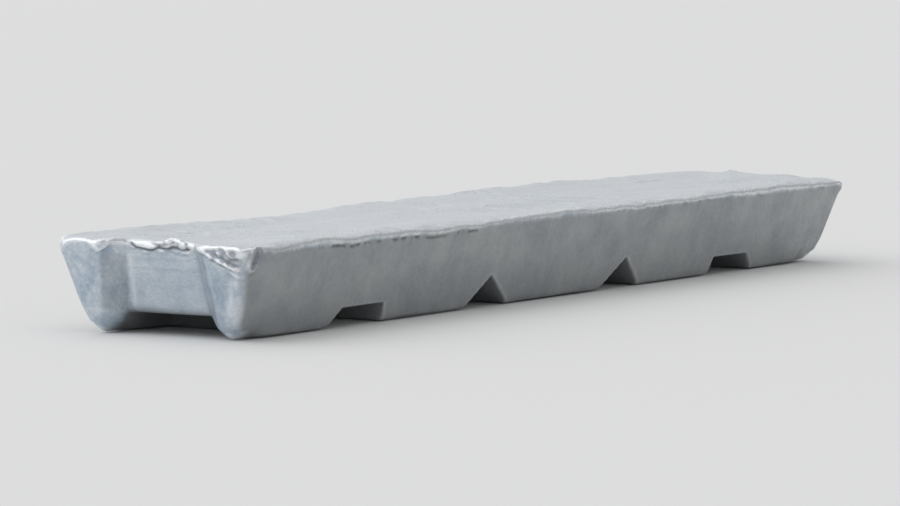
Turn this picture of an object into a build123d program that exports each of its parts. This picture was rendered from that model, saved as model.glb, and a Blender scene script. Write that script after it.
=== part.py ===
from build123d import *
import os

# One small foundry ingot of aluminium alloy, cast in an open mould. Millimetres, +Z up.
# The origin is the centre of the underside. X runs along the ingot, and Y across it.
# It lies as it was cast: the narrow moulded face is down, the wide pour face is up.

# Drafted block
foot_length = 698.0  # at the underside, before its edges are rounded
foot_width = 83.0
height = 47.0
end_overhang = 16.0  # each end leans out by this much at the pour face
side_overhang = 12.0  # each long side leans out by this much
corner_radius = 5.5  # upright corners between a side and an end
foot_radius = 5.0  # round edge of the underside
rim_radius = 2.5  # round edge of the pour face

# Recess in the middle of each end, between the two lobes
recess_depth = 12.0
recess_wall_run = 10.0  # each slant wall spreads by this much from back to front
lobe_width_foot = 9.5  # flat front of each lobe at the underside, before rounding
lobe_width_top = 25.0  # the same at the pour face
recess_root_radius = 3.0
recess_lip_radius = 5.0

# Pocket under each recess, open at the end and at the underside
pocket_height = 10.5
pocket_roof_reach = 46.0  # from the foot of the end to the back of the pocket's roof
pocket_side_run = 5.0  # each side wall spreads by this much from the roof to the mouth
pocket_back_run = 8.0  # the back wall slopes by this much
pocket_root_radius = 3.0
pocket_lip_radius = 6.0

# Sink of the pour face, where the metal shrank
sink_depth = 1.4
sink_rim = 10.0  # level rim left between the sink and a long side
sink_end_rim = 26.0  # level rim left between the sink and an end
sink_run = 24.0  # width of the slope from the rim to the sink's floor

# Two break notches across the underside, so that the ingot snaps into thirds
break_centre = 78.0  # from the middle of the ingot
break_depth = 17.0
break_half_width = 24.0
break_root_radius = 2.0
break_lip_radius = 7.0

# Two strap notches across the underside
strap_from_end = 123.0  # from the foot of the end to the middle of the notch
strap_depth = 10.0
strap_seat_width = 41.0  # flat that the strap bears on
strap_mouth_width = 53.0
strap_root_radius = 2.0
strap_lip_radius = 5.0

# How far a cutting shape runs past the surface that it opens
overrun = 5.0

pour_length = foot_length + 2 * end_overhang
pour_width = foot_width + 2 * side_overhang
strap_centre = foot_length / 2 - strap_from_end
recess_width_foot = foot_width - 2 * (lobe_width_foot + recess_wall_run)
recess_width_top = pour_width - 2 * (lobe_width_top + recess_wall_run)
pocket_roof_width = recess_width_foot
pocket_mouth_width = pocket_roof_width + 2 * pocket_side_run
pocket_mouth_reach = pocket_roof_reach + pocket_back_run


def end_at(level):
    """Distance from the middle of the ingot to its leaning end at a level."""
    return foot_length / 2 + end_overhang * level / height


def recess_outline(level):
    """Corners of the recess at the +X end at a level, seen from above."""
    share = level / height
    back = end_at(level) - recess_depth
    front = end_at(level) + overrun
    half_back = (recess_width_foot + (recess_width_top - recess_width_foot) * share) / 2
    half_front = half_back + recess_wall_run * (recess_depth + overrun) / recess_depth
    return [
        (front, -half_front),
        (back, -half_back),
        (back, half_back),
        (front, half_front),
    ]


def notch(centre, top_width, mouth_width, depth):
    """Draw a notch into the underside, with a ledge that its lips are rounded against."""
    ledge = mouth_width / 2 + 4 * overrun
    corners = [
        (centre - ledge, -overrun),
        (centre - ledge, 0),
        (centre - mouth_width / 2, 0),
        (centre - top_width / 2, depth),
    ]
    if top_width > 0:
        corners.append((centre + top_width / 2, depth))
    corners += [
        (centre + mouth_width / 2, 0),
        (centre + ledge, 0),
        (centre + ledge, -overrun),
    ]
    Polygon(*corners, align=None)


def round_notch(depth, root_radius, lip_radius):
    """Round the inner corners of the notch being drawn, and its lips."""
    fillet(vertices().filter_by(lambda v: v.Y > depth - 0.01), root_radius)
    ledges = vertices().filter_by(lambda v: abs(v.Y) < 0.01)
    fillet(ledges.sort_by(Axis.X)[1:-1], lip_radius)


def is_upright(edge):
    """Whether an edge climbs from the underside to the pour face."""
    return abs((edge @ 1 - edge @ 0).Z) > height / 2


def is_recess_root(edge):
    """Whether an upright edge lies at the back of a recess."""
    depth = end_at(edge.center().Z) - abs(edge.center().X)
    return is_upright(edge) and depth > recess_depth - 1


def is_recess_lip(edge):
    """Whether an upright edge lies between a recess and a lobe's front."""
    level = edge.center().Z
    lip = recess_width_foot + (recess_width_top - recess_width_foot) * level / height
    return is_upright(edge) and abs(abs(edge.center().Y) - lip / 2 - recess_wall_run) < 1


with BuildPart() as ingot:
    # Drafted block, with its corners and the edge of its underside rounded
    with BuildSketch(Plane.XY):
        Rectangle(foot_length, foot_width)
    with BuildSketch(Plane.XY.offset(height)):
        Rectangle(pour_length, pour_width)
    loft()
    fillet(ingot.edges().filter_by(is_upright), corner_radius)
    fillet(ingot.faces().sort_by(Axis.Z)[0].edges(), foot_radius)

    # Recess in each end, between its lobes
    with BuildPart(mode=Mode.PRIVATE) as recess:
        for level in (-overrun, height + overrun):
            with BuildSketch(Plane.XY.offset(level)):
                Polygon(*recess_outline(level), align=None)
        loft()
    add(recess.part, mode=Mode.SUBTRACT)
    add(mirror(recess.part, about=Plane.YZ, mode=Mode.PRIVATE), mode=Mode.SUBTRACT)
    fillet(ingot.edges().filter_by(is_recess_root), recess_root_radius)
    fillet(ingot.edges().filter_by(is_recess_lip), recess_lip_radius)

    # Pocket under each recess
    with BuildPart(mode=Mode.PRIVATE) as pocket:
        for level in (-overrun, pocket_height):
            share = level / pocket_height
            width = pocket_mouth_width - (pocket_mouth_width - pocket_roof_width) * share
            reach = pocket_mouth_reach - (pocket_mouth_reach - pocket_roof_reach) * share
            with BuildSketch(Plane.XY.offset(level)):
                with Locations((foot_length / 2 - reach, 0)):
                    Rectangle(reach + end_overhang, width, align=(Align.MIN, Align.CENTER))
        loft()
        fillet(pocket.faces().sort_by(Axis.Z)[-1].edges(), pocket_root_radius)
    add(pocket.part, mode=Mode.SUBTRACT)
    add(mirror(pocket.part, about=Plane.YZ, mode=Mode.PRIVATE), mode=Mode.SUBTRACT)
    mouth = ingot.edges().filter_by(
        lambda e: abs((e @ 0).Z) < 0.01
        and abs((e @ 1).Z) < 0.01
        and abs(e.center().Y) < pocket_mouth_width / 2 + 0.01
        and abs(e.center().X) > foot_length / 2 - pocket_mouth_reach - 0.01
    )
    fillet(mouth, pocket_lip_radius)

    # Break notches
    with BuildSketch(Plane.XZ):
        notch(break_centre, 0, 2 * break_half_width, break_depth)
        round_notch(break_depth, break_root_radius, break_lip_radius)
        mirror(about=Plane.YZ)
    extrude(amount=pour_width, both=True, mode=Mode.SUBTRACT)

    # Strap notches
    with BuildSketch(Plane.XZ):
        notch(strap_centre, strap_seat_width, strap_mouth_width, strap_depth)
        round_notch(strap_depth, strap_root_radius, strap_lip_radius)
        mirror(about=Plane.YZ)
    extrude(amount=pour_width, both=True, mode=Mode.SUBTRACT)

    # Shallow sink in the pour face
    with BuildSketch(Plane.XY.offset(height)):
        RectangleRounded(
            pour_length - 2 * sink_end_rim, pour_width - 2 * sink_rim, sink_run + corner_radius
        )
    with BuildSketch(Plane.XY.offset(height - sink_depth)):
        RectangleRounded(
            pour_length - 2 * (sink_end_rim + sink_run),
            pour_width - 2 * (sink_rim + sink_run),
            corner_radius,
        )
    loft(mode=Mode.SUBTRACT)

    # Round edge of the pour face, all the way around
    rim = ingot.faces().filter_by(Plane.XY).sort_by(Axis.Z)[-1].outer_wire().edges()
    fillet(rim, rim_radius)

ingot.part.label = "ingot"

os.makedirs("parts", exist_ok=True)
export_step(ingot.part, "parts/ingot.step")
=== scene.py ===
"""Looks of one cast aluminium foundry ingot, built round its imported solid.

Blender's own lengths are in metres. The sizes of the ingot and its skin are in millimetres, in the
solid's frame: X runs along the ingot, Y across it, and Z up from the narrow moulded underside to
the wide pour face. A Pair is a start and an end, a place or a size, as its name says.
"""

import logging
import math
from dataclasses import dataclass
from enum import Enum

import bpy
import numpy as np
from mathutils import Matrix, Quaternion, Vector


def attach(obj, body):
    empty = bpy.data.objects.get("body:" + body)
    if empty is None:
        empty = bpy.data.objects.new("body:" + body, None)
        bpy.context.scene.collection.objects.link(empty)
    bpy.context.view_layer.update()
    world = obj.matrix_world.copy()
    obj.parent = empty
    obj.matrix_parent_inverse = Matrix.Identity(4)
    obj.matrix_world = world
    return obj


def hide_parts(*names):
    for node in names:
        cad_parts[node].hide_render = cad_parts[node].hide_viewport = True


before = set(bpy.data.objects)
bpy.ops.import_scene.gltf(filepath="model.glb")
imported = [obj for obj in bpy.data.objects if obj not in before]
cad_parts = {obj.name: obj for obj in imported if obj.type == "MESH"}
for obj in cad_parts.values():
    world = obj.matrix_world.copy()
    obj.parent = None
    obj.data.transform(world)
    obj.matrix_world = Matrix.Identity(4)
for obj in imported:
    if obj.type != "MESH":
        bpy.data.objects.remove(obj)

log = logging.getLogger("ingot")

Pair = tuple[float, float]
Spot = tuple[float, float, float]
Colour = tuple[float, float, float, float]
Array = np.ndarray
Piece = bpy.types.Object
Socket = bpy.types.NodeSocket

MM = 0.001
HASH_PRIMES = np.array([374761393, 668265263, 1440662683])
SEED_PRIME = 974634777
MIX_PRIME = 1274126177
WORD = 0xFFFFFFFF


class End(Enum):
    """The two ends of the ingot, by the sign of X."""

    NEAR = -1
    FAR = 1


@dataclass(frozen=True)
class SmoothNoise:
    """Seeded smooth noise that is read at many points at once."""

    seed: int
    gain: float = 1.4
    seed_shift: float = 0.37
    layer_step: int = 17

    def _lattice(self, cell: Array) -> Array:
        """Gives one repeatable number from -1 to 1 for each whole-number cell.

        Args:
            cell: Array of N rows with three whole numbers each.

        Returns:
            Array of N numbers.
        """
        h = cell.astype(np.int64) @ HASH_PRIMES + self.seed * SEED_PRIME
        h = (h ^ (h >> 13)) & WORD
        h = (h * MIX_PRIME) & WORD
        h = (h ^ (h >> 16)) & WORD
        return h / (WORD / 2) - 1.0

    def at(self, points: Array, size: float) -> Array:
        """Reads the noise.

        Args:
            points: Array of N places.
            size: Distance over which the noise changes.

        Returns:
            Array of N numbers, mostly from -1 to 1.
        """
        p = points / size + self.seed * self.seed_shift
        base = np.floor(p)
        t = p - base
        t = t * t * t * (t * (t * 6 - 15) + 10)
        total = np.zeros(len(p))
        for corner in range(8):
            step = np.array([corner & 1, corner >> 1 & 1, corner >> 2 & 1])
            weight = np.prod(np.where(step == 1, t, 1 - t), axis=1)
            total += weight * self._lattice(base + step)
        return total * self.gain

    def layered(self, points: Array, size: float, layers: int) -> Array:
        """Adds finer and weaker copies of the noise to itself.

        Args:
            points: Array of N places.
            size: Distance over which the coarsest layer changes.
            layers: Number of layers, each half as large and half as strong.

        Returns:
            Array of N numbers, mostly from -1 to 1.
        """
        total = np.zeros(len(points))
        for layer in range(layers):
            finer = SmoothNoise(self.seed + self.layer_step * layer)
            total += finer.at(points, size / 2**layer) / 2**layer
        return total / (2 - 2 ** (1 - layers))


WAVE = SmoothNoise(11)
RIPPLE = SmoothNoise(23)
EDGE = SmoothNoise(37)


def smooth_step(value: Array, low: float, high: float) -> Array:
    """Rises smoothly from 0 to 1.

    Args:
        value: Array of numbers.
        low: Where the rise starts.
        high: Where it ends.

    Returns:
        Array of numbers from 0 to 1.
    """
    t = np.clip((value - low) / (high - low), 0, 1)
    return t * t * (3 - 2 * t)


def bump_at(value: Array, centre: float, width: float) -> Array:
    """Gives a bell that is 1 at its centre.

    Args:
        value: Array of numbers.
        centre: Where the bell is highest.
        width: Distance at which it has fallen to about 0.6.

    Returns:
        Array of numbers from 0 to 1.
    """
    return np.exp(-0.5 * ((value - centre) / width) ** 2)


def turned_plan(points: Array, angle: float, slant: Pair = (0.31, 0.23)) -> Array:
    """Turns places about Z and slants them, so that two noises don't share their lines.

    Args:
        points: Array of N places.
        angle: Turn in degrees.
        slant: Rise of Z for each step along X and along Y.

    Returns:
        Array of N places.
    """
    c, s = math.cos(math.radians(angle)), math.sin(math.radians(angle))
    return points @ np.array([[c, s, slant[0]], [-s, c, slant[1]], [0, 0, 1]])


def deselect_all() -> None:
    """Leaves nothing selected, because an operator acts on all that is selected."""
    if bpy.context.object and bpy.context.object.mode != "OBJECT":
        bpy.ops.object.mode_set(mode="OBJECT")
    bpy.ops.object.select_all(action="DESELECT")


def make_active(piece: Piece) -> None:
    """Selects one piece alone and makes it active.

    Args:
        piece: The piece that the next operators act on.
    """
    deselect_all()
    piece.select_set(True)
    bpy.context.view_layer.objects.active = piece


def apply_modifier(piece: Piece, kind: str, **settings: object) -> None:
    """Adds a modifier and applies it.

    Args:
        piece: The piece to change.
        kind: The modifier's type.
        **settings: The modifier's own settings.
    """
    make_active(piece)
    modifier = piece.modifiers.new(kind.lower(), kind)
    for name, value in settings.items():
        setattr(modifier, name, value)
    bpy.ops.object.modifier_apply(modifier=modifier.name)


def read_rows(piece: Piece, name: str) -> Array:
    """Reads three numbers at each point of a piece.

    Args:
        piece: The piece to read.
        name: What is read, the point's place or the direction in which it faces.

    Returns:
        Array of N rows.
    """
    flat = np.empty(len(piece.data.vertices) * 3)
    piece.data.vertices.foreach_get(name, flat)
    return flat.reshape(-1, 3)


def read_points(piece: Piece) -> Array:
    """Reads a piece's points in millimetres."""
    return read_rows(piece, "co") / MM


def read_normals(piece: Piece) -> Array:
    """Reads the direction in which each point of a piece faces."""
    return read_rows(piece, "normal")


def write_points(piece: Piece, points: Array) -> None:
    """Moves a piece's points.

    Args:
        piece: The piece to change.
        points: Array of N places in millimetres.
    """
    piece.data.vertices.foreach_set("co", (points * MM).ravel())
    piece.data.update()


def write_mark(piece: Piece, name: str, values: Array) -> None:
    """Writes a number at each point, for the finish to read.

    Args:
        piece: The piece to mark.
        name: The mark's name.
        values: Array of N numbers from 0 to 1.
    """
    mark = piece.data.attributes.new(name, "FLOAT", "POINT")
    mark.data.foreach_set("value", values.astype(np.float32))


def read_mark(piece: Piece, name: str) -> Array:
    """Reads a number at each point.

    Args:
        piece: The marked piece.
        name: The mark's name.

    Returns:
        Array of N numbers.
    """
    values = np.empty(len(piece.data.vertices))
    piece.data.attributes[name].data.foreach_get("value", values)
    return values


def read_pairs(piece: Piece) -> Array:
    """Reads the two points of each edge of a piece.

    Args:
        piece: The piece to read.

    Returns:
        Array of rows with two point numbers each.
    """
    pairs = np.empty(len(piece.data.edges) * 2, dtype=np.int32)
    piece.data.edges.foreach_get("vertices", pairs)
    return pairs.reshape(-1, 2)


def neighbour_mean(values: Array, pairs: Array) -> Array:
    """Averages values over the neighbours of each point.

    Args:
        values: Array of N rows.
        pairs: The two points of each edge.

    Returns:
        Array of N rows.
    """
    both = np.concatenate([pairs, pairs[:, ::-1]])
    here, there = both[:, 0], both[:, 1]
    count = np.maximum(np.bincount(here, minlength=len(values)), 1)
    columns = [np.bincount(here, column[there], len(values)) for column in values.T]
    return np.stack(columns, 1) / count[:, None]


def smeared(values: Array, pairs: Array, rounds: int) -> Array:
    """Spreads one number a point over the points around it.

    Args:
        values: Array of N numbers.
        pairs: The two points of each edge.
        rounds: How many times it spreads by one edge.

    Returns:
        Array of N numbers.
    """
    for _ in range(rounds):
        values = neighbour_mean(values[:, None], pairs)[:, 0]
    return values


@dataclass(frozen=True)
class PlainForm:
    """The solid's own sizes, and the distances that follow from them."""

    height: float = 47.0
    foot_half_length: float = 349.0
    foot_half_width: float = 41.5
    end_overhang: float = 16.0
    side_overhang: float = 12.0
    recess_depth: float = 12.0
    recess_root: float = 18.5
    recess_lip: float = 28.5
    pocket_height: float = 10.5
    pocket_mouth: float = 27.0
    pocket_lean: float = 0.476
    strap_centre: float = 226.0
    rim_radius: float = 2.5

    def end_at(self, level: Array) -> Array:
        """Gives how far the leaning end is from the middle at a level."""
        return self.foot_half_length + self.end_overhang * level / self.height

    def side_at(self, level: Array) -> Array:
        """Gives how far the leaning side is from the middle at a level."""
        return self.foot_half_width + self.side_overhang * level / self.height

    def from_rim(self, x: Array, y: Array) -> Array:
        """Gives how far inside the pour face's rim a place is."""
        return np.minimum(self.side_at(self.height) - np.abs(y), self.end_at(self.height) - np.abs(x))

    def from_near_corner(self, x: Array, y: Array) -> Array:
        """Gives how far a place is from the near corner of the lit side."""
        return np.hypot(x + self.end_at(self.height), y - self.side_at(self.height))

    def near_top(self, level: Array, band: Pair) -> Array:
        """Rises from 0 to 1 between two depths below the pour face."""
        return smooth_step(level, self.height - band[0], self.height - band[1])

    def near_end(self, out: Array, band: Pair) -> Array:
        """Rises from 0 to 1 between two distances short of the foot's end."""
        return smooth_step(out, self.foot_half_length - band[0], self.foot_half_length - band[1])


FORM = PlainForm()


class LapNoise(Enum):
    """The noises of a lap, by their steps from its seed."""

    LINE = 0
    GAPS = 3


@dataclass(frozen=True)
class Lap:
    """A thin sheet of chilled metal that overlaps a wall above a wandering line.

    The line is a row of points, each a place along the wall and a depth below the rim. The lap isn't
    there before its first point and after its last one. It stands proud of the wall, with a bead on
    its jagged lip and a groove under it that gaps open here and there, and skin tells how dull it is.
    """

    line: tuple[Pair, ...]
    seed: int
    proud: float
    jag: float
    bead: float = 0.0
    groove: float = 0.0
    skin: float = 0.0
    wander: float = 6.0
    gap: float = 9.0
    gap_share: float = 0.35
    gap_soft: float = 0.25
    fade: float = 3.0
    lip_soft: float = 0.35
    slit_below: float = 0.6
    slit_width: float = 0.4
    bead_above: float = 0.9
    bead_width: float = 0.7
    thin_share: float = 0.3
    thick_reach: float = 3.0

    def _noise(self, along: Array, kind: LapNoise, size: float) -> Array:
        """Reads the lap's own noise along the wall.

        Args:
            along: Places along the wall.
            kind: Which of the lap's noises is read.
            size: Distance over which it changes.

        Returns:
            Numbers, mostly from -1 to 1.
        """
        flat = np.zeros_like(along)
        spot = np.stack([along, flat, flat], 1)
        return SmoothNoise(self.seed + kind.value).layered(spot, size, 2)

    def _span(self, along: Array) -> Array:
        """Gives 1 along the lap and fades to 0 at its two ends."""
        first, last = self.line[0][0], self.line[-1][0]
        return smooth_step(along, first, first + self.fade) * smooth_step(-along, -last, self.fade - last)

    def depth(self, along: Array) -> Array:
        """Gives the line's depth below the rim.

        Args:
            along: Places along the wall.

        Returns:
            Depth at each place.
        """
        places, depths = zip(*self.line)
        return np.interp(along, places, depths) + self.jag * self._noise(along, LapNoise.LINE, self.wander)

    def cover(self, along: Array, below: Array) -> Array:
        """Tells where the lap covers the wall.

        Args:
            along: Places along the wall.
            below: Depths below the rim.

        Returns:
            Share from 0 to 1 at each place.
        """
        return self._span(along) * smooth_step(self.depth(along) - below, -self.lip_soft, self.lip_soft)

    def shaded_slit(self, along: Array, below: Array) -> Array:
        """Tells where a slit runs under the lap; the finish paints it dark as painted shade.

        Args:
            along: Places along the wall.
            below: Depths below the rim.

        Returns:
            Share from 0 to 1 at each place.
        """
        low = 2 * self.gap_share - 1
        noise = self._noise(along, LapNoise.GAPS, self.gap)
        opening = smooth_step(noise, low - self.gap_soft, low + self.gap_soft)
        dark = bump_at(below - self.depth(along), self.slit_below, self.slit_width)
        return self._span(along) * opening * dark

    def height(self, along: Array, below: Array) -> Array:
        """Gives how far the lap and the slit under it move the wall outwards.

        Args:
            along: Places along the wall.
            below: Depths below the rim.

        Returns:
            Distance in millimetres at each place.
        """
        above = np.maximum(self.depth(along) - below, 0)
        thick = self.thin_share + (1 - self.thin_share) * np.exp(-above / self.thick_reach)
        sheet = self.proud * self.cover(along, below) * thick
        edge = self._span(along) * bump_at(above, self.bead_above, self.bead_width)
        return sheet + self.bead * edge - self.groove * self.shaded_slit(along, below)


@dataclass(frozen=True)
class Curl:
    """A ring of skin that froze as it ran over the rim."""

    place: Spot
    turn: Spot
    reach: Pair
    thick: float

    def add(self) -> Piece:
        """Makes the ring as a small torus.

        Returns:
            The ring, as a piece of its own.
        """
        deselect_all()
        bpy.ops.mesh.primitive_torus_add(
            major_segments=32,
            minor_segments=10,
            major_radius=self.reach[0] * MM,
            minor_radius=self.thick * MM,
            location=Vector(self.place) * MM,
            rotation=[math.radians(angle) for angle in self.turn],
        )
        ring = bpy.context.object
        ring.scale[1] = self.reach[1] / self.reach[0]
        make_active(ring)
        bpy.ops.object.transform_apply(location=True, rotation=True, scale=True)
        return ring


@dataclass(frozen=True)
class Arch:
    """An arch of skin that clings to a wall below the rim, open at its foot."""

    along: float
    below: float
    half_width: float
    half_height: float
    proud: float
    band: float = 0.9
    hollow: float = 0.8
    hollow_edge: Pair = (0.2, 0.6)
    foot: float = 0.6
    skirt: float = 1.35
    skirt_soft: float = 0.2

    def _reach(self, along: Array, below: Array) -> Array:
        """Gives the distance from the arch's middle, which is 1 on the arch itself."""
        across = (along - self.along) / self.half_width
        return np.hypot(across, (below - self.below) / self.half_height)

    def _above_foot(self, below: Array) -> Array:
        """Gives 1 on the arch and fades to 0 at its foot."""
        return smooth_step(self.below + self.foot * self.half_height - below, -1.0, 1.0)

    def height(self, along: Array, below: Array) -> Array:
        """Gives how far the arch and its hollow move the wall outwards.

        Args:
            along: Places along the wall.
            below: Depths below the rim.

        Returns:
            Distance in millimetres at each place.
        """
        reach = self._reach(along, below)
        band = bump_at((reach - 1) * self.half_width, 0, self.band)
        hollow = smooth_step(1 - reach, *self.hollow_edge)
        return self.proud * self._above_foot(below) * (band - self.hollow * hollow)

    def shade(self, along: Array, below: Array) -> Array:
        """Tells where the arch's dull skin is; the arch also gets painted shade there.

        Args:
            along: Places along the wall.
            below: Depths below the rim.

        Returns:
            Share from 0 to 1 at each place.
        """
        reach = self._reach(along, below)
        return self._above_foot(below) * smooth_step(self.skirt - reach, 0, self.skirt_soft)


class Wall(Enum):
    """The four walls under the rim, each by its axis and its sign."""

    NEAR_END = ("x", -1)
    FAR_END = ("x", 1)
    SHADE_SIDE = ("y", -1)
    LIT_SIDE = ("y", 1)

    @property
    def is_end(self) -> bool:
        """Tells the two ends from the two long sides."""
        return self.value[0] == "x"

    @property
    def sign(self) -> int:
        """Gives the side of the middle that the wall is on."""
        return self.value[1]


@dataclass(frozen=True)
class Bulge:
    """A low hump or hollow of the pour skin at the rim."""

    place: Pair
    size: Pair
    rise: float


BULGES = (
    Bulge((-353, -8), (8, 7), 2.0),
    Bulge((-358, -23), (8, 5), -1.0),
    Bulge((-367, 56), (8, 8), -2.2),
    Bulge((-355, -54), (7, 5), 0.9),
    Bulge((-330, -56), (22, 6), -2.2),
    Bulge((353, 12), (9, 11), 1.4),
    Bulge((361, -28), (8, 8), -1.0),
    Bulge((366, -54), (9, 9), -3.0),
    Bulge((-120, -52), (60, 9), -0.8),
    Bulge((190, 52), (40, 9), 1.0),
)

CURLS = (
    Curl((-353.0, -8, 44.8), (6, 64, 0), (1.8, 4.6), 0.65),
    Curl((352.6, 15, 44.8), (-5, 113, 0), (1.8, 4.2), 0.65),
    Curl((-354.4, -51.6, 40.3), (104, 0, 0), (4.2, 5.4), 1.1),
)

ARCHES = {
    Wall.SHADE_SIDE: Arch(along=-354.4, below=5.6, half_width=4.3, half_height=6.2, proud=0.7),
    Wall.LIT_SIDE: Arch(along=322, below=4.0, half_width=4.0, half_height=4.6, proud=0.8),
}

LAPS = {
    Wall.NEAR_END: (
        Lap(((-53.5, 14.2), (-46, 12.8), (-40, 9.8), (-34, 6.3), (-28, 3.2), (-22, 1.0)),
            proud=0.45, bead=0.95, groove=0.3, jag=0.5, seed=5, skin=1.0, gap_share=0.7),
        Lap(((-52, 17.2), (-47, 15.8), (-42, 13.2), (-39, 11.2)),
            proud=0.1, bead=0.35, groove=0.15, jag=0.5, seed=4),
        Lap(((-51, 8.4), (-46, 8.8), (-41, 6.4), (-36, 3.4)),
            proud=0.1, bead=0.2, groove=0.35, jag=1.2, seed=9),
        Lap(((-49, 4.6), (-44, 5.2), (-40, 3.0), (-36, 1.6)),
            proud=0.1, bead=0.15, groove=0.35, jag=1.2, seed=10),
        Lap(((-27, 3.4), (-22, 3.2), (-18, 4.4), (-11, 6.4), (-4, 5.4), (3, 5.0), (9, 5.8), (14, 4.4),
             (20, 2.8), (27, 0.8)),
            proud=0.55, bead=0.12, groove=0.45, jag=1.3, seed=7, skin=0.2, gap_share=0.6),
        Lap(((-17, 1.8), (-11, 4.0), (-5, 3.2), (1, 2.4), (8, 3.4), (14, 2.2), (19, 0.8)),
            proud=0.5, bead=0.1, groove=0.8, jag=1.0, seed=8, skin=0.1, gap_share=0.3),
        Lap(((-13, 0.6), (-8, 2.0), (-3, 1.2), (3, 1.6), (7, 0.6)),
            proud=0.3, bead=0.1, groove=0.6, jag=0.9, seed=6, skin=0.1),
        Lap(((23, 1.0), (26, 4.2), (29, 6.2), (32, 3.6), (36, 0.8)),
            proud=0.45, bead=0.4, groove=0.1, jag=0.6, seed=12),
        Lap(((-22, 13), (-12, 14.2), (0, 13.6), (12, 14.4), (22, 13)),
            proud=0.25, jag=0.5, seed=13),
        Lap(((-21, 8.2), (-8, 9.6), (4, 8.6), (20, 9.8)),
            proud=0.18, jag=0.8, seed=14),
    ),
    Wall.FAR_END: (
        Lap(((-53, 3), (-44, 6), (-34, 5), (-26, 2.4), (-12, 4.4), (2, 6), (14, 4), (24, 2.0), (36, 6),
             (44, 9), (53, 7)),
            proud=0.5, bead=0.4, groove=0.5, jag=1.0, seed=15, skin=0.7),
        Lap(((-18, 2.0), (-8, 1.2), (4, 3.2), (12, 1.6)),
            proud=0.4, bead=0.1, groove=0.7, jag=0.9, seed=17, skin=0.2),
        Lap(((-20, 12), (-8, 13.4), (6, 12.8), (20, 13.6)),
            proud=0.25, jag=0.5, seed=16),
    ),
    Wall.SHADE_SIDE: (
        Lap(((-318, 4.6), (-300, 4.0), (-262, 4.6), (-215, 3.8), (-160, 4.4), (-112, 3.2)),
            proud=0.08, groove=0.7, jag=0.4, seed=25, gap=5.0, gap_share=0.52),
        Lap(((20, 2.4), (90, 3.4), (170, 2.6), (250, 3.8), (340, 3.0)),
            proud=0.15, bead=0.05, groove=0.3, jag=0.5, seed=28, skin=0.1, gap=6.0, gap_share=0.65),
    ),
    Wall.LIT_SIDE: (
        Lap(((-350, 3.2), (-280, 4.4), (-190, 3.0), (-90, 3.8), (-20, 2.6)),
            proud=0.2, bead=0.15, groove=0.5, jag=0.6, seed=35, skin=0.2, gap_share=0.5),
        Lap(((60, 3.0), (140, 4.6), (220, 3.4), (300, 4.4), (350, 3.2)),
            proud=0.2, bead=0.15, groove=0.6, jag=0.6, seed=38, skin=0.2, gap_share=0.5),
    ),
}


@dataclass(frozen=True)
class Waves:
    """The slow waves of the freezing metal, and the uneven rim."""

    slow_size: float = 150
    slow_rise: float = 1.0
    middle_size: float = 48
    middle_rise: float = 0.65
    squeeze: float = 1.6
    top: Pair = (12, 1.5)
    rim_width: float = 5
    rim_size: float = 24
    rim_rise: float = 0.55
    nick_size: float = 7
    nick_rise: float = 0.3
    corner_sink: float = 1.0
    corner_width: float = 5.0
    lip_sink: float = 0.3
    lip_width: float = 4.0
    bulge_width: float = 0.6

    def rise(self, p: Array) -> Array:
        """Gives how far the freezing metal rose or sank.

        Args:
            p: Places on the casting.

        Returns:
            Rise at each place.
        """
        x, y, z = p.T
        top = FORM.near_top(z, self.top)
        plan = np.stack([x, y * self.squeeze, np.zeros_like(x)], 1)
        slow = self.slow_rise * WAVE.at(plan, self.slow_size)
        rise = z / FORM.height * (slow + self.middle_rise * WAVE.layered(plan, self.middle_size, 2))
        nicks = self.nick_rise * EDGE.at(plan, self.nick_size)
        rim = top * bump_at(FORM.from_rim(x, y), 0, self.rim_width)
        rise += rim * (self.rim_rise * EDGE.layered(plan, self.rim_size, 2) + nicks)
        for end in End:
            for side in (-1, 1):
                out = x - end.value * FORM.end_at(FORM.height)
                corner = bump_at(np.hypot(out, y - side * FORM.side_at(FORM.height)), 0, self.corner_width)
                lip = bump_at(np.hypot(out, y - side * FORM.recess_lip), 0, self.lip_width)
                rise -= top * (self.corner_sink * corner + self.lip_sink * lip)
        for bulge in BULGES:
            reach = np.hypot((x - bulge.place[0]) / bulge.size[0], (y - bulge.place[1]) / bulge.size[1])
            rise += top * bulge.rise * bump_at(reach, 0, self.bulge_width)
        return rise


@dataclass(frozen=True)
class Toes:
    """The rounded lower edges of the lobes."""

    radius: float = 9.0
    most: float = 4.6
    fade_height: float = 16
    fade_power: float = 1.5
    lobe: Pair = (316, 336)
    lobe_edge: Pair = (-1.5, 0.5)

    def lift(self, p: Array) -> Array:
        """Gives how far the lower edges of the lobes rise as they round off.

        Args:
            p: Places on the casting.

        Returns:
            Rise at each place.
        """
        x, y, z = np.abs(p[:, 0]), np.abs(p[:, 1]), p[:, 2]
        mouth = FORM.pocket_mouth - FORM.pocket_lean * z
        lift = np.zeros_like(x)
        for inside in (FORM.side_at(z) - y, y - mouth, FORM.end_at(z) - x):
            lift += 0.5 * self.radius * np.clip(1 - inside / self.radius, 0, 1) ** 2
        lobe = smooth_step(x, *self.lobe) * smooth_step(y - mouth, *self.lobe_edge)
        low = np.clip(1 - z / self.fade_height, 0, 1) ** self.fade_power
        return np.minimum(lift, self.most) * lobe * low


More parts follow.
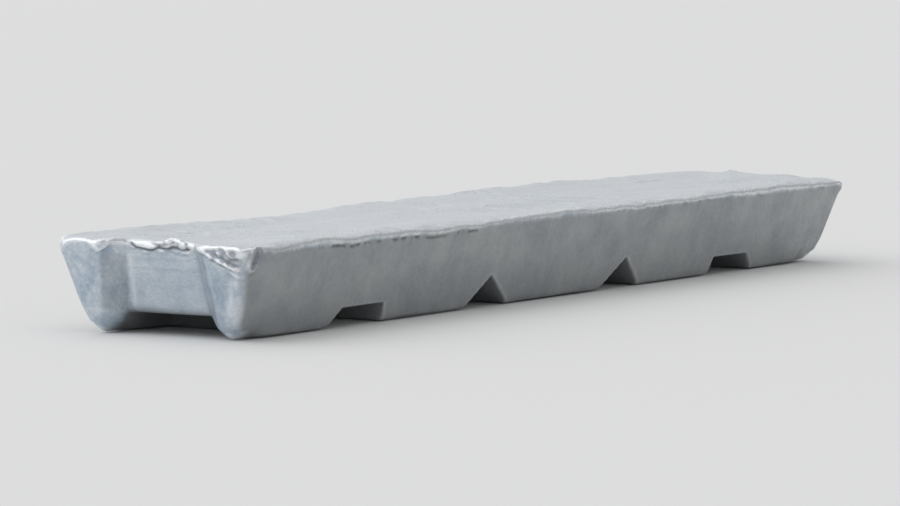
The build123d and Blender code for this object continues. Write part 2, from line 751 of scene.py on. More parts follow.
@dataclass(frozen=True)
class Rim:
    """The crisp line that the solid's soft rim grows into, and its rolled stretch."""

    lean_cosine: float = 0.956
    lean_sine: float = 0.292
    least_facing: float = 0.62
    rolled_place: Pair = (-338, -54)
    rolled_size: Pair = (24, 9)
    rolled_width: float = 0.6
    corner_width: float = 3.0
    corner_share: float = 0.7
    band: Pair = (5, 3)
    side_share: float = 0.12
    end_extra: float = 0.58
    end_band: Pair = (2, -6)

    def growth(self, p: Array, n: Array) -> Array:
        """Gives how far the rim grows outwards.

        Args:
            p: Places on the casting.
            n: Direction in which each place faces.

        Returns:
            Distance along the direction at each place.
        """
        x, y, z = p.T
        wall = self.lean_cosine * np.hypot(n[:, 0], n[:, 1]) - self.lean_sine * n[:, 2]
        facing = np.clip(np.maximum(n[:, 2], wall), self.least_facing, 1)
        along, across = x - self.rolled_place[0], y - self.rolled_place[1]
        reach = np.hypot(along / self.rolled_size[0], across / self.rolled_size[1])
        rolled = bump_at(reach, 0, self.rolled_width)
        corner = bump_at(FORM.from_near_corner(x, y), 0, self.corner_width)
        crisp = FORM.near_top(z, self.band) * (1 - rolled) * (1 - self.corner_share * corner)
        share = self.side_share + self.end_extra * FORM.near_end(np.abs(x), self.end_band)
        return share * FORM.rim_radius * (1 / facing - 1) * crisp


@dataclass(frozen=True)
class Flare:
    """The lit wall of the near recess, which opens towards the underside."""

    opening: float = 2.4
    wall: Pair = (8, 16)
    lobe: Pair = (-44, -30)
    end: Pair = (56, 28)
    top: float = 40

    def move(self, p: Array) -> Array:
        """Gives how far the wall moves across the ingot.

        Args:
            p: Places on the casting.

        Returns:
            Distance along Y at each place.
        """
        x, y, z = p.T
        wall = smooth_step(y, *self.wall) * smooth_step(-y, *self.lobe)
        return self.opening * (wall * FORM.near_end(-x, self.end) * np.clip(1 - z / self.top, 0, 1))


@dataclass(frozen=True)
class NotchFlanks:
    """The flanks of the notches, which lie off their drawn places."""

    fade: Pair = (19, 34)
    strap_depth: float = 10
    flank: Pair = (8, 18)
    flank_end: Pair = (62, 32)
    outer_shift: float = 7.0
    inner_shift: float = 2.0
    inner_lean: float = 2.5
    break_places: tuple[float, ...] = (52, 78, 102, 140)
    break_shifts: tuple[float, ...] = (0, 4.5, 6.0, 0)

    def _beyond(self, out: Array, strap: float) -> Array:
        """Tells which places lie on one flank of the strap notch or somewhat past it.

        Args:
            out: Distance along the ingot, growing past the flank.
            strap: The notch's middle, measured the same way.

        Returns:
            Share from 0 to 1 at each place.
        """
        begun = smooth_step(out, strap + self.flank[0], strap + self.flank[1])
        return begun * smooth_step(-out, -strap - self.flank_end[0], -strap - self.flank_end[1])

    def shift(self, p: Array) -> Array:
        """Gives how far the flanks lie off their places.

        Args:
            p: Places on the casting.

        Returns:
            Distance towards the nearer end at each place.
        """
        out, z = np.abs(p[:, 0]), p[:, 2]
        level = np.clip(z / self.strap_depth, 0, 1)
        strap = self.outer_shift * self._beyond(out, FORM.strap_centre) * (1 - level)
        strap -= self._beyond(-out, -FORM.strap_centre) * (self.inner_shift + self.inner_lean * level)
        low = 1 - smooth_step(z, *self.fade)
        return low * (strap + np.interp(out, self.break_places, self.break_shifts))


# Each row: a noise, its turn in degrees, its stretch and its share of the folds.
FOLD_MIX = ((RIPPLE, 33, 1.0, 0.62), (EDGE, -21, 1.27, 0.62), (WAVE, 62, 0.55, 0.3))


@dataclass(frozen=True)
class PourSkin:
    """The folds, lumps and rings of the free pour skin."""

    drift_size: float = 31
    drift: float = 9
    squeeze: float = 0.5
    fold_size: float = 11
    fold_rise: float = 0.9
    fine_size: float = 5
    fine_rise: float = 0.22
    fine_least: float = 0.25
    fine_apart: float = 40
    patch_turn: float = 20
    patch_size: float = 60
    patch_edge: Pair = (-0.5, 0.6)
    lump_turn: float = 40
    lump_size: float = 22
    lump_rise: float = 0.34
    pours: tuple[Pair, ...] = ((-205, 6), (30, -8), (255, 4))
    pour_squeeze: float = 1.3
    ring_drift_size: float = 45
    ring_gap: float = 9.5
    ring_reach: float = 60
    ring_width: float = 32
    ring_rise: float = 0.05
    rim_fade: Pair = (0.5, 7)

    def _fold(self, points: Array, size: float) -> Array:
        """Gives soft folds whose lines wander freely.

        Args:
            points: Places on the pour face.
            size: Distance between the folds.

        Returns:
            Height from 0 to 1 at each place.
        """
        mixed = np.zeros(len(points))
        for noise, turn, stretch, share in FOLD_MIX:
            mixed += share * noise.at(turned_plan(points, turn), stretch * size)
        return (1 - np.minimum(np.abs(mixed), 1)) ** 2

    def height(self, p: Array) -> Array:
        """Gives the relief of the pour face.

        Args:
            p: Places on the pour face.

        Returns:
            Height at each place.
        """
        x, y = p[:, 0], p[:, 1]
        flat = np.zeros_like(x)
        plan = np.stack([x, y, flat], 1)
        drift = np.stack([WAVE.at(plan, self.drift_size), EDGE.at(plan, self.drift_size), flat], 1)
        across = (plan + self.drift * drift) * np.array([1.0, self.squeeze, 1.0])
        patch = WAVE.layered(turned_plan(plan, self.patch_turn), self.patch_size, 2)
        patch = smooth_step(patch, *self.patch_edge)
        lumps = RIPPLE.layered(turned_plan(plan, self.lump_turn), self.lump_size, 3)
        rings = np.zeros_like(x)
        for pour_x, pour_y in self.pours:
            reach = np.hypot(x - pour_x, self.pour_squeeze * (y - pour_y))
            reach += self.drift * EDGE.at(plan, self.ring_drift_size)
            band = bump_at(reach, self.ring_reach, self.ring_width)
            rings += np.sin(2 * math.pi * reach / self.ring_gap) * band
        height = self.fold_rise * self._fold(across, self.fold_size) * patch
        fine = self.fine_rise * self._fold(across + self.fine_apart, self.fine_size)
        height += fine * (self.fine_least + (1 - self.fine_least) * patch)
        height += self.lump_rise * lumps + self.ring_rise * rings * patch
        return height * smooth_step(FORM.from_rim(x, y), *self.rim_fade)


@dataclass(frozen=True)
class RunOver:
    """The laps, arches and slits that the metal left as it ran over the rim."""

    band: Pair = (24, 18)
    end_depth: Pair = (-17, -14)
    end_inset: Pair = (1.0, 5.0)
    side_depth: Pair = (-3.5, -1.5)
    side_inset: Pair = (1.0, 6.0)
    slit_gain: float = 1.4
    arch_shade: float = 0.3

    def moves(self, p: Array) -> tuple[Array, Array, Array]:
        """Gives the laps, arches and slits below the rim.

        Args:
            p: Places on the casting.

        Returns:
            Outward move, share of lap and share of slit at each place.
        """
        x, y, z = p.T
        below = FORM.height - z
        high = FORM.near_top(z, self.band)
        inside_end = FORM.end_at(z) - np.abs(x)
        inside_side = FORM.side_at(z) - np.abs(y)
        at_end = high * smooth_step(-inside_end, *self.end_depth)
        at_end *= smooth_step(inside_side, *self.end_inset)
        at_side = high * smooth_step(-inside_side, *self.side_depth)
        at_side *= smooth_step(inside_end, *self.side_inset)
        move, lap, shaded_slit = np.zeros_like(x), np.zeros_like(x), np.zeros_like(x)
        for wall, laps in LAPS.items():
            weight, along, facing = (at_end, y, x) if wall.is_end else (at_side, x, y)
            on = np.flatnonzero((weight > 0) & (np.sign(facing) == wall.sign))
            share, spot = weight[on], (along[on], below[on])
            for fold in laps:
                move[on] += share * fold.height(*spot)
                lap[on] = np.maximum(lap[on], share * fold.cover(*spot) * fold.skin)
                # The slits under the laps are painted dark as their shade.
                dark = min(1.0, self.slit_gain * fold.groove) * fold.shaded_slit(*spot)
                shaded_slit[on] = np.maximum(shaded_slit[on], share * dark)
            if wall in ARCHES:
                shade = share * ARCHES[wall].shade(*spot)
                move[on] += share * ARCHES[wall].height(*spot)
                lap[on] = np.maximum(lap[on], shade)
                # The arch takes a share of the slits' painted shade, which darkens its lit flank.
                shaded_slit[on] = np.maximum(shaded_slit[on], self.arch_shade * shade)
        return move, lap, shaded_slit

    def side_cover(self, p: Array) -> Array:
        """Tells where the skin of the pour face hangs over a long side.

        Args:
            p: Places on the casting.

        Returns:
            Share from 0 to 1 at each place.
        """
        x, y, z = p.T
        cover = np.zeros_like(x)
        for wall in (Wall.SHADE_SIDE, Wall.LIT_SIDE):
            on = np.flatnonzero(np.sign(y) == wall.sign)
            for fold in LAPS[wall]:
                cover[on] = np.maximum(cover[on], fold.cover(x[on], FORM.height - z[on]))
        return cover


@dataclass(frozen=True)
class WallSkin:
    """The small unevenness of the walls: faint waves, crumpled laps and a rough rim."""

    wave_size: float = 30
    wave_move: float = 0.16
    crumple_size: float = 4.6
    crumple_move: float = 0.75
    grain_size: float = 2.6
    grain_share: float = 0.5
    rough_size: float = 8.0
    rough_share: float = 0.5
    rough_move: float = 0.45
    rim_band: Pair = (8, 2)

    def roughened(self, move: Array, lap: Array, p: Array) -> Array:
        """Adds the unevenness to the move of the walls.

        Args:
            move: Outward move so far at each place.
            lap: Share of lap at each place.
            p: Places on the casting.

        Returns:
            Outward move at each place.
        """
        crumple = (1 - np.abs(RIPPLE.at(p, self.crumple_size))) ** 3
        crumple += self.grain_share * RIPPLE.at(p, self.grain_size)
        rough = self.rough_share * EDGE.layered(p, self.rough_size, 3)
        move = move + self.wave_move * WAVE.layered(p, self.wave_size, 3)
        move = move + self.crumple_move * lap * crumple
        return move + self.rough_move * FORM.near_top(p[:, 2], self.rim_band) * rough


@dataclass(frozen=True)
class WornEdgesAndPaintedLight:
    """The bright worn edges and painted highlights, and the painted shade in the creases of the casting.
    """

    jut_rounds: int = 3
    wear_and_highlight: Pair = (0.012, 0.06)
    arch_dull: float = 0.6
    inner_dull: float = 0.65
    inner: Pair = (2, 6)
    inner_up: Pair = (0.3, 0.7)
    end_depth: float = 22
    end_low: Pair = (10, 13)
    end_high: Pair = (-41, -38)
    root_highlight_inset: float = 0.6
    root_highlight_width: float = 1.0
    highlight_share: float = 0.55
    shade_turn: Pair = (0.35, 0.7)
    corner_highlight_inset: float = 6.4
    corner_highlight_width: float = 1.1
    corner_highlight_high: Pair = (-34, -28)
    crease: Pair = (0.02, 0.08)

    def mark(self, piece: Piece, grid: float) -> None:
        """Writes where the surface juts out or falls back, for the finish to read, with painted highlights
        and painted shade.

        Args:
            piece: The fine mesh.
            grid: Distance between its points.
        """
        p, n, pairs = read_points(piece), read_normals(piece), read_pairs(piece)
        jut = np.sum(n * (p - neighbour_mean(p, pairs)), axis=1) / grid
        jut = smeared(jut, pairs, self.jut_rounds)
        x, y, z = p.T
        # Edges that jut out are lightened, partly as real wear and partly as a painted highlight along the
        # rim.
        wear_and_highlight = smooth_step(jut, *self.wear_and_highlight)
        for wall, arch in ARCHES.items():
            on = (np.sign(y) == wall.sign) & (np.abs(y) > FORM.foot_half_width)
            wear_and_highlight[on] *= 1 - self.arch_dull * arch.shade(x[on], FORM.height - z[on])
        inner = smooth_step(FORM.from_rim(x, y), *self.inner)
        wear_and_highlight *= 1 - self.inner_dull * inner * smooth_step(n[:, 2], *self.inner_up)
        at_end = np.abs(x) > FORM.foot_half_length - self.end_depth
        at_end = at_end * smooth_step(z, *self.end_low) * smooth_step(-z, *self.end_high)
        # A painted highlight along the lit root of the near recess.
        root = FORM.recess_root - self.root_highlight_inset + Flare().move(p)
        root_highlight = at_end * bump_at(y * -np.sign(x), root, self.root_highlight_width)
        # Painted shade on the recess wall that faces away from the light.
        shade = at_end * smooth_step(n[:, 1] * np.sign(x), *self.shade_turn) * (y * np.sign(x) < 0)
        # A painted highlight line just inside the shade-side corner of the near end.
        corner_highlight = at_end * (x < 0) * bump_at(FORM.side_at(z) + y, self.corner_highlight_inset, self.corner_highlight_width)
        corner_highlight = corner_highlight * smooth_step(-z, *self.corner_highlight_high)
        # The edge mark holds the worn edges and the painted highlights.
        write_mark(piece, "edge", np.maximum(wear_and_highlight, self.highlight_share * np.maximum(root_highlight, corner_highlight)))
        # The crease mark holds painted shade in the hollows and on that turned-away recess wall.
        write_mark(piece, "crease", np.maximum(smooth_step(-jut, *self.crease), shade) * (1 - root_highlight))


@dataclass(frozen=True)
class Thinning:
    """How far the mesh is thinned: most where it is flat, least at the rim, ends and sharp edges."""

    most_triangles: int = 196000
    rim: Pair = (9, 4)
    rim_share: float = 0.45
    end: Pair = (22, 8)
    far_share: float = 0.6
    sharp: Pair = (0.4, 0.8)
    sharp_below: float = 30
    sharp_rounds: int = 20
    sharp_full: Pair = (0.01, 0.12)
    sharp_share: float = 0.75
    steps: int = 5
    step_share: float = 0.18
    strength: float = 0.5

    def thin(self, piece: Piece) -> None:
        """Thins the mesh.

        Args:
            piece: The fine mesh, with its marks.
        """
        p = read_points(piece)
        x, z = p[:, 0], p[:, 2]
        rim = self.rim_share * FORM.near_top(z, self.rim)
        end = FORM.near_end(np.abs(x), self.end) * np.where(x < 0, 1.0, self.far_share)
        sharp = smooth_step(read_mark(piece, "edge"), *self.sharp) * (z < self.sharp_below)
        sharp = smeared(sharp + read_mark(piece, "shaded_slit"), read_pairs(piece), self.sharp_rounds)
        busy = np.maximum(np.maximum(rim, end), self.sharp_share * smooth_step(sharp, *self.sharp_full))
        level = np.round(busy * (self.steps - 1)).astype(int)
        group = piece.vertex_groups.new(name="thin")
        for step in range(self.steps):
            group.add(np.flatnonzero(level == step).tolist(), 1.0 - self.step_share * step, "REPLACE")
        triangles = sum(len(face.vertices) - 2 for face in piece.data.polygons)
        apply_modifier(
            piece,
            "DECIMATE",
            decimate_type="COLLAPSE",
            ratio=min(1.0, self.most_triangles / triangles),
            vertex_group=group.name,
            vertex_group_factor=self.strength,
        )
        log.info("casting: %d triangles thinned to %d", triangles, len(piece.data.polygons))


@dataclass(frozen=True)
class Casting:
    """The ingot: a drafted bar with lobed ends, notches and a wavy pour face."""

    node: str = "ingot"
    merge: float = 0.01
    voxel: float = 0.75
    brow_reach: float = 2.6
    brow_margin: float = 3
    brow_rounds: int = 1
    toe_margin: float = 8
    toe_height: float = 9
    toe_rounds: int = 12
    upward: Pair = (0.3, 0.9)
    skin_band: Pair = (7, 4)
    pull: Spot = (0.6, -3.0, -0.8)
    pull_width: float = 4.8
    pull_band: Pair = (7, 0)
    recess_across: Pair = (-24, -18)
    recess_low: Pair = (9, 12)
    recess_end: Pair = (24, 16)
    side_below: Pair = (1.0, 4.5)
    side_covered: float = 0.6
    side_end: Pair = (8, 18)
    turned: Pair = (0.35, 0.85)
    turned_out: Pair = (34, 38)
    turned_end: Pair = (0, 5)
    pour_up: Pair = (0.05, 0.5)
    pour_band: Pair = (6, 3)

    def build(self) -> Piece:
        """Makes the casting from a copy of its solid.

        Returns:
            The finished piece, which stands for the solid.
        """
        piece = self._copy_solid()
        self._join_curls(piece)
        apply_modifier(piece, "REMESH", mode="VOXEL", voxel_size=self.voxel * MM)
        self._ease_edges(piece)
        self._relieve(piece)
        WornEdgesAndPaintedLight().mark(piece, self.voxel)
        Thinning().thin(piece)
        make_active(piece)
        bpy.ops.object.shade_smooth()
        apply_modifier(piece, "WEIGHTED_NORMAL", mode="FACE_AREA", weight=50, thresh=0.01)
        deselect_all()
        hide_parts(self.node)
        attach(piece, "root")
        return piece

    def _copy_solid(self) -> Piece:
        """Copies the solid's mesh and closes it.

        Returns:
            The copy, as a piece of its own.
        """
        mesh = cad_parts[self.node].data.copy()
        mesh.materials.clear()
        mesh.name = "casting"
        piece = bpy.data.objects.new("casting", mesh)
        bpy.context.scene.collection.objects.link(piece)
        make_active(piece)
        bpy.ops.object.mode_set(mode="EDIT")
        bpy.ops.mesh.select_all(action="SELECT")
        bpy.ops.mesh.remove_doubles(threshold=self.merge * MM)
        bpy.ops.object.mode_set(mode="OBJECT")
        return piece

    def _join_curls(self, piece: Piece) -> None:
        """Adds the curls that froze on the rim.

        Args:
            piece: The closed copy of the solid.
        """
        rings = [curl.add() for curl in CURLS]
        make_active(piece)
        for ring in rings:
            ring.select_set(True)
        bpy.ops.object.join()

    def _ease_edges(self, piece: Piece) -> None:
        """Rounds each end's brow over the pocket a little, and the toes of its lobes a lot.

        Args:
            piece: The fine mesh.
        """
        p = read_points(piece)
        x, y, z = np.abs(p[:, 0]), np.abs(p[:, 1]), p[:, 2]
        brow_x = FORM.end_at(FORM.pocket_height) - FORM.recess_depth
        brow = np.hypot(x - brow_x, z - FORM.pocket_height) < self.brow_reach
        brow &= y < FORM.recess_root + self.brow_margin
        toe = x > FORM.foot_half_length - FORM.recess_depth - self.toe_margin
        toe &= (z < self.toe_height) & (y > FORM.recess_root)
        for name, rows, rounds in (("brow", brow, self.brow_rounds), ("toe", toe, self.toe_rounds)):
            group = piece.vertex_groups.new(name=name)
            group.add(np.flatnonzero(rows).tolist(), 1.0, "REPLACE")
            apply_modifier(piece, "SMOOTH", factor=0.5, iterations=rounds, vertex_group=name)

    def _relieve(self, piece: Piece) -> None:
        """Moves the surface as the metal froze, and marks its skins.

        Args:
            piece: The fine mesh to move.
        """
        p, n = read_points(piece), read_normals(piece)
        x, y, z = p.T
        up = smooth_step(n[:, 2], *self.upward)
        walls = 1 - up
        free = up * FORM.near_top(z, self.skin_band)
        top = np.flatnonzero(free > 0)
        rise = Waves().rise(p)
        rise[top] += free[top] * PourSkin().height(p[top])
        rise += Toes().lift(p)
        run_over = RunOver()
        move, lap, shaded_slit = run_over.moves(p)
        move = walls * WallSkin().roughened(move, lap, p) + Rim().growth(p, n)
        pull = bump_at(FORM.from_near_corner(x, y), 0, self.pull_width) * FORM.near_top(z, self.pull_band)
        shift = np.sign(x) * NotchFlanks().shift(p)
        p += n * move[:, None]
        p += pull[:, None] * np.array(self.pull)
        p[:, 0] += shift
        p[:, 1] += Flare().move(p)
        p[:, 2] += rise
        write_points(piece, p)
        write_mark(piece, "lap", lap)
        # The slit mark carries painted shade.
        write_mark(piece, "shaded_slit", shaded_slit * walls)
        self._mark_skins(piece, p, n, run_over.side_cover(p))

    def _mark_skins(
        self, piece: Piece, p: Array, n: Array, cover: Array
    ) -> None:
        """Marks the recess walls, the long sides and the pour face; the finish darkens the long sides
        partly as their own skin and partly as painted shade.

        Args:
            piece: The moved mesh.
            p: Its places.
            n: Direction in which each place faced before the move.
            cover: Where the skin of the pour face hangs over a long side.
        """
        x, y, z = p.T
        walls = 1 - smooth_step(n[:, 2], *self.upward)
        inside = smooth_step(-np.abs(y), *self.recess_across) * smooth_step(z, *self.recess_low)
        recess = walls * inside * FORM.near_end(np.abs(x), self.recess_end)
        write_mark(piece, "recess", recess)
        band = smooth_step(FORM.height - z, *self.side_below) * (1 - self.side_covered * cover)
        inside_end = FORM.end_at(z) - np.abs(x)
        turned = smooth_step(np.abs(n[:, 1]), *self.turned) * smooth_step(np.abs(y), *self.turned_out)
        turned = turned * smooth_step(inside_end, *self.turned_end)
        # The side mark darkens the long sides, partly as their own matte skin and partly as painted shade.
        side = walls * band * np.maximum(smooth_step(inside_end, *self.side_end), turned)
        write_mark(piece, "side", side * (1 - recess))
        pour = smooth_step(n[:, 2], *self.pour_up) * FORM.near_top(z, self.pour_band)
        write_mark(piece, "pour", pour)


@dataclass(frozen=True)
class Wiring:
    """Short calls that add nodes to a tree and join them."""

    tree: bpy.types.NodeTree

    def node(self, kind: str, **settings: object) -> bpy.types.Node:
        """Adds a node.

        Args:
            kind: The node's type, without its first word.
            **settings: The node's own settings.

        Returns:
            The new node.
        """
        made = self.tree.nodes.new("ShaderNode" + kind)
        for name, value in settings.items():
            setattr(made, name, value)
        return made

    def join(self, source: object, target: Socket) -> None:
        """Feeds a socket from another, or sets it to a plain value.

        Args:
            source: A socket, or a number, colour or place.
            target: The socket that is fed.
        """
        if isinstance(source, Socket):
            self.tree.links.new(source, target)
        else:
            target.default_value = source

    def noise(self, place: object, scale: object, detail: float, rough: float) -> Socket:
        """Adds a noise.

        Args:
            place: Socket with the place.
            scale: Number of features in a metre.
            detail: Number of finer layers.
            rough: Strength of the finer layers.

        Returns:
            The noise's value, around 0.5.
        """
        made = self.node("TexNoise")
        self.join(place, made.inputs["Vector"])
        self.join(scale, made.inputs["Scale"])
        self.join(detail, made.inputs["Detail"])
        self.join(rough, made.inputs["Roughness"])
        return made.outputs["Fac"]

    def math(
        self, kind: str, first: object, second: object = 0.0, third: object = 0.0
    ) -> Socket:
        """Adds a sum, product or other step on numbers.

        Args:
            kind: The operation.
            first: First number or socket.
            second: Second number or socket.
            third: Third number or socket.

        Returns:
            The result.
        """
        made = self.node("Math", operation=kind)
        for value, socket in zip((first, second, third), made.inputs):
            self.join(value, socket)
        return made.outputs[0]

    def times(self, first: object, second: object) -> Socket:
        """Multiplies two numbers or sockets."""
        return self.math("MULTIPLY", first, second)

    def weigh(self, *terms: tuple[object, float]) -> Socket:
        """Adds up numbers, each times its own share.

        Args:
            *terms: Number or socket, and its share.

        Returns:
            The sum.
        """
        total, *others = [self.times(value, share) for value, share in terms]
        for other in others:
            total = self.math("ADD", total, other)
        return total

    def spread(
        self, value: object, low: float, high: float, to_low: float = 0.0, to_high: float = 1.0
    ) -> Socket:
        """Maps one range to another, smoothly and with its ends held.

        Args:
            value: The number to map.
            low: Start of the first range.
            high: End of the first range.
            to_low: Start of the second range.
            to_high: End of the second range.

        Returns:
            The mapped number.
        """
        made = self.node("MapRange", interpolation_type="SMOOTHSTEP")
        for number, socket in zip((value, low, high, to_low, to_high), made.inputs[:5]):
            self.join(number, socket)
        return made.outputs[0]

    def stretch(self, place: object, scale: Spot) -> Socket:
        """Scales places along each axis.

        Args:
            place: Socket with the place.
            scale: Scale along X, Y and Z.

        Returns:
            The scaled place.
        """
        made = self.node("Mapping")
        made.inputs["Scale"].default_value = scale
        self.join(place, made.inputs["Vector"])
        return made.outputs[0]

    def mix(self, share: object, first: object, second: object) -> Socket:
        """Blends two colours.

        Args:
            share: How much of the second colour, from 0 to 1.
            first: First colour or socket.
            second: Second colour or socket.

        Returns:
            The blended colour.
        """
        made = self.node("Mix", data_type="RGBA")
        self.join(share, made.inputs[0])
        self.join(first, made.inputs[6])
        self.join(second, made.inputs[7])
        return made.outputs[2]


@dataclass(frozen=True)
class GroupWiring(Wiring):
    """Wiring of a shader node group that reads a place and one dial, and puts out numbers."""

    @classmethod
    def start(cls, name: str, dial: str, value: float, outputs: tuple[str, ...]) -> "GroupWiring":
        """Makes an empty group with its sockets.

        Args:
            name: The group's name.
            dial: Name of the number that goes in.
            value: First value of that number.
            outputs: Names of the numbers that come out.

        Returns:
            The wiring of the new group.
        """
        tree = bpy.data.node_groups.new(name, "ShaderNodeTree")
        tree.interface.new_socket("Place", in_out="INPUT", socket_type="NodeSocketVector")
        socket = tree.interface.new_socket(dial, in_out="INPUT", socket_type="NodeSocketFloat")
        socket.default_value = value
        for output in outputs:
            tree.interface.new_socket(output, in_out="OUTPUT", socket_type="NodeSocketFloat")
        tree.nodes.new("NodeGroupInput").name = "in"
        tree.nodes.new("NodeGroupOutput").name = "out"
        return cls(tree)

    def given(self, name: str) -> Socket:
        """Gives the socket of something that goes in."""
        return self.tree.nodes["in"].outputs[name]

    def give(self, name: str, value: object) -> None:
        """Feeds something that comes out."""
        self.join(value, self.tree.nodes["out"].inputs[name])


@dataclass(frozen=True)
class CastAluminium:
    """As-cast aluminium: a matte moulded skin and a brighter pour skin."""

    cool: Colour = (0.36, 0.455, 0.55, 1)
    warm: Colour = (0.77, 0.81, 0.85, 1)
    # Long-side colours: their own neutral matte skin, made darker as painted shade.
    shaded_side_dark: Colour = (0.30, 0.315, 0.32, 1)
    shaded_side_pale: Colour = (0.36, 0.37, 0.37, 1)
    chilled: Colour = (0.34, 0.36, 0.41, 1)
    pour: Colour = (0.65, 0.66, 0.67, 1)
    # Colour of worn edges and of painted highlights.
    worn_and_highlight: Colour = (0.92, 0.94, 0.96, 1)
    # Painted shade for the hollows and the turned-away recess wall.
    painted_shade: Colour = (0.34, 0.36, 0.38, 1)
    # Painted shade inside the slits under the laps and on the arch.
    shaded_slit: Colour = (0.09, 0.09, 0.10, 1)
    metallic: float = 0.85
    blotch_share: float = 0.60
    streak_share: float = 0.12
    speck_share: float = 0.28
    recess_tone: float = 0.52
    recess_calm: float = 0.45
    shaded_side_speck: float = 0.2
    side_share: float = 0.85
    lap_share: float = 0.8
    pour_share: float = 0.9
    pour_cool: float = 0.35
    edge_share: float = 0.85
    edge_calm: float = 0.6
    shade_share: float = 0.35
    slit_share: float = 0.8
    rough_cool: float = 0.52
    rough_warm: float = 0.36
    pour_gloss: float = 0.12
    edge_gloss: float = 0.08
    ripple_share: float = 0.5
    sand_calm: float = 0.6
    bump_strength: float = 0.7
    bump_metres: float = 0.0009

    def _sand_group(self) -> bpy.types.NodeTree:
        """Makes the sandy relief that the mould leaves.

        Returns:
            A group that puts out a height from 0 to 1.
        """
        w = GroupWiring.start("mould_sand", "Grain", 900.0, ("Height",))
        place, grain = w.given("Place"), w.given("Grain")
        fine = w.noise(place, grain, 3.0, 0.6)
        coarse = w.noise(place, w.times(grain, 0.22), 2.0, 0.5)
        w.give("Height", w.weigh((fine, 0.6), (coarse, 0.4)))
        return w.tree

    def _cloud_group(self) -> bpy.types.NodeTree:
        """Makes the blotches and drag streaks of the skin.

        Returns:
            A group that puts out four masks from 0 to 1.
        """
        w = GroupWiring.start("skin_cloud", "Size", 52.0, ("Blotch", "Cloud", "Streak", "Speck"))
        place, size = w.given("Place"), w.given("Size")
        wide, along = w.stretch(place, (0.5, 1.0, 1.0)), w.stretch(place, (1.0, 1.0, 0.12))
        w.give("Blotch", w.spread(w.noise(place, size, 5.0, 0.62), 0.32, 0.68))
        w.give("Cloud", w.spread(w.noise(wide, w.times(size, 0.8), 4.0, 0.6), 0.34, 0.66))
        w.give("Streak", w.spread(w.noise(along, w.times(size, 3.5), 3.0, 0.6), 0.36, 0.64))
        w.give("Speck", w.spread(w.noise(place, w.times(size, 9.0), 4.0, 0.7), 0.36, 0.64))
        return w.tree

    def _ripple_group(self) -> bpy.types.NodeTree:
        """Makes the fine creases of the pour skin.

        Returns:
            A group that puts out a height from 0 to 1.
        """
        w = GroupWiring.start("pour_ripple", "Grain", 160.0, ("Height",))
        place, grain = w.given("Place"), w.given("Grain")
        crease = w.math("ABSOLUTE", w.math("SUBTRACT", w.noise(place, grain, 3.0, 0.6), 0.5))
        fine = w.noise(place, w.times(grain, 4.0), 3.0, 0.6)
        w.give("Height", w.math("ADD", w.weigh((fine, 0.35), (crease, -1.6)), 0.5))
        return w.tree

    def _groups(self, w: Wiring, place: Socket) -> list[bpy.types.Node]:
        """Places the sand, cloud and ripple groups in the material.

        Args:
            w: The material's wiring.
            place: Socket with the place.

        Returns:
            The three group nodes.
        """
        made = []
        for tree in (self._sand_group(), self._cloud_group(), self._ripple_group()):
            made.append(w.node("Group", node_tree=tree))
            w.join(place, made[-1].inputs["Place"])
        return made

    def build(self) -> bpy.types.Material:
        """Makes the material.

        Returns:
            The finished material.
        """
        material = bpy.data.materials.new("cast_aluminium")
        material.use_nodes = True
        w = Wiring(material.node_tree)
        shader = material.node_tree.nodes["Principled BSDF"]
        pour, lap, edge, crease, shaded_slit, side, recess = (
            w.node("Attribute", attribute_name=mark).outputs["Fac"]
            for mark in ("pour", "lap", "edge", "crease", "shaded_slit", "side", "recess")
        )
        sand, masks, ripple = self._groups(w, w.node("TexCoord").outputs["Object"])
        blotch, cloud, streak, speck = masks.outputs

        tone = w.weigh((blotch, self.blotch_share), (streak, self.streak_share), (speck, self.speck_share))
        off_tone = w.math("SUBTRACT", self.recess_tone, tone)
        calm = w.math("MULTIPLY_ADD", off_tone, w.times(recess, self.recess_calm), tone)
        # The long sides' colour: their own neutral matte skin, darkened as painted shade.
        shaded_side = w.weigh((cloud, 1 - self.shaded_side_speck), (speck, self.shaded_side_speck))
        shaded_side = w.mix(shaded_side, self.shaded_side_dark, self.shaded_side_pale)
        colour = w.mix(calm, self.cool, self.warm)
        colour = w.mix(w.times(side, self.side_share), colour, shaded_side)
        colour = w.mix(w.times(lap, self.lap_share), colour, self.chilled)
        sheen = w.mix(w.times(tone, self.pour_cool), self.pour, self.cool)
        colour = w.mix(w.times(pour, self.pour_share), colour, sheen)
        # Edges lightened: real wear plus painted highlights along the rim, the recess root and the near
        # corner.
        wear_and_highlight = w.times(edge, w.math("MULTIPLY_ADD", side, -self.edge_calm, self.edge_share))
        colour = w.mix(wear_and_highlight, colour, self.worn_and_highlight)
        # Painted shade in the hollows and on the recess wall that faces away from the light.
        colour = w.mix(w.times(crease, self.shade_share), colour, self.painted_shade)
        # Painted shade inside the slits and on the arch.
        colour = w.mix(w.times(shaded_slit, self.slit_share), colour, self.shaded_slit)
        w.join(colour, shader.inputs["Base Color"])
        shader.inputs["Metallic"].default_value = self.metallic

        rough = w.spread(tone, 0.0, 1.0, self.rough_cool, self.rough_warm)
        rough = w.weigh((rough, 1.0), (pour, -self.pour_gloss), (edge, -self.edge_gloss))
        w.join(rough, shader.inputs["Roughness"])

        free = w.times(ripple.outputs["Height"], w.times(pour, self.ripple_share))
        smooth = w.times(w.math("MAXIMUM", pour, side), self.sand_calm)
        cast = w.times(sand.outputs["Height"], w.math("SUBTRACT", 1.0, smooth))
        bump = w.node("Bump")
        bump.inputs["Strength"].default_value = self.bump_strength
        bump.inputs["Distance"].default_value = self.bump_metres
        w.join(w.math("ADD", free, cast), bump.inputs["Height"])
        w.join(bump.outputs["Normal"], shader.inputs["Normal"])
        return material


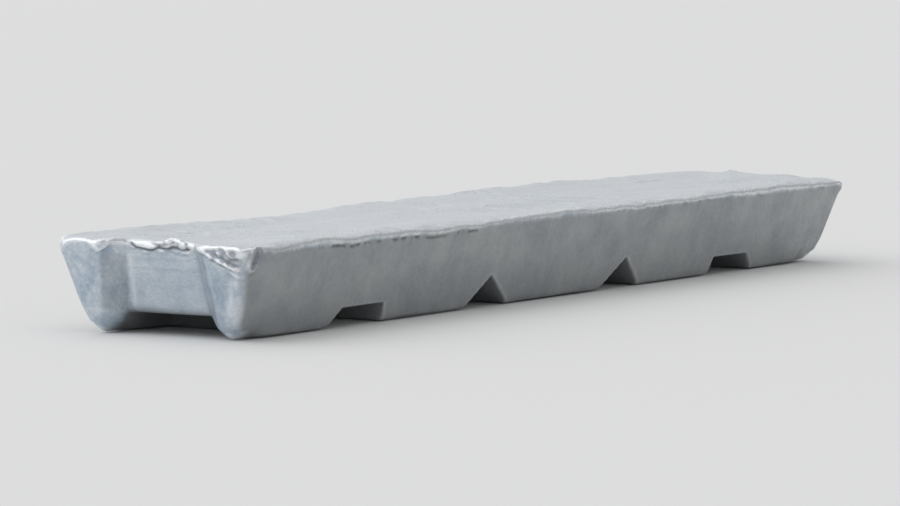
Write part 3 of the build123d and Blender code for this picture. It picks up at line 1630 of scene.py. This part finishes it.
@dataclass(frozen=True)
class Studio:
    """Floor, light and camera round the ingot."""

    floor_size: float = 60
    floor_level: float = -0.0002
    floor_colour: Colour = (0.82, 0.81, 0.80, 1)
    floor_rough: float = 0.9
    floor_gloss: float = 0.1
    dome_colour: Colour = (0.97, 0.985, 1.0, 1)
    dome_bright: Spot = (-0.36, 0.82, 0.45)
    dome_fade: Pair = (-0.55, 0.68)
    dome_low: float = 0.38
    dome_high: float = 1.10
    lamp_from: Spot = (-0.82, 0.42, 0.38)
    lamp_width: float = 80.0
    lamp_power: float = 0.3
    lamp_away: float = 3
    camera_place: Spot = (-3.066, -1.500, 0.265)
    camera_target: Spot = (-0.0064, 0.0165, 0.0209)
    lens: float = 258.4
    sensor: float = 36.0
    roll: float = 1.125
    sight: float = 100.0

    def build(self) -> None:
        """Makes everything that isn't part of the ingot."""
        self._floor()
        self._dome()
        self._lamp()
        self._camera()

    def _floor(self) -> None:
        """Lays a plain pale floor."""
        deselect_all()
        bpy.ops.mesh.primitive_plane_add(size=self.floor_size, location=(0, 0, self.floor_level))
        floor = bpy.context.object
        floor.name = "floor"
        make_active(floor)
        bpy.ops.object.transform_apply(location=True, rotation=True, scale=True)
        material = bpy.data.materials.new("floor_paint")
        material.use_nodes = True
        shader = material.node_tree.nodes["Principled BSDF"]
        shader.inputs["Base Color"].default_value = self.floor_colour
        shader.inputs["Roughness"].default_value = self.floor_rough
        shader.inputs["Specular IOR Level"].default_value = self.floor_gloss
        floor.data.materials.append(material)

    def _dome(self) -> None:
        """Lights the world as a soft dome that is brightest on one side."""
        world = bpy.data.worlds.new("studio")
        world.use_nodes = True
        bpy.context.scene.world = world
        back = world.node_tree.nodes["Background"]
        back.inputs["Color"].default_value = self.dome_colour
        w = Wiring(world.node_tree)
        facing = w.node("VectorMath", operation="DOT_PRODUCT")
        w.join(w.node("TexCoord").outputs["Generated"], facing.inputs[0])
        facing.inputs[1].default_value = Vector(self.dome_bright).normalized()
        strength = w.spread(facing.outputs["Value"], *self.dome_fade, self.dome_low, self.dome_high)
        w.join(strength, back.inputs["Strength"])

    def _lamp(self) -> None:
        """Hangs one weak, wide and distant lamp."""
        data = bpy.data.lights.new("key", "SUN")
        data.angle = math.radians(self.lamp_width)
        data.energy = self.lamp_power
        lamp = bpy.data.objects.new("key", data)
        source = Vector(self.lamp_from)
        lamp.location = source * self.lamp_away
        lamp.rotation_euler = source.to_track_quat("Z", "Y").to_euler()
        bpy.context.scene.collection.objects.link(lamp)

    def _camera(self) -> None:
        """Sets the camera at the photograph's angle."""
        data = bpy.data.cameras.new("camera")
        data.lens = self.lens
        data.sensor_width = self.sensor
        data.clip_end = self.sight
        camera = bpy.data.objects.new("camera", data)
        camera.location = self.camera_place
        aim = Vector(self.camera_target) - Vector(self.camera_place)
        turn = aim.to_track_quat("-Z", "Y") @ Quaternion((0, 0, 1), math.radians(self.roll))
        camera.rotation_euler = turn.to_euler()
        bpy.context.scene.collection.objects.link(camera)
        bpy.context.scene.camera = camera
        bpy.context.scene.view_settings.view_transform = "Standard"


def main() -> None:
    """Builds the ingot, its finish and the studio."""
    logging.basicConfig(level=logging.INFO, format="%(name)s: %(message)s")
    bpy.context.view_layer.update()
    casting = Casting().build()
    log.info("casting built with %d faces", len(casting.data.polygons))
    casting.data.materials.append(CastAluminium().build())
    log.info("finish built")
    Studio().build()
    log.info("studio built")


if __name__ == "__main__":
    main()
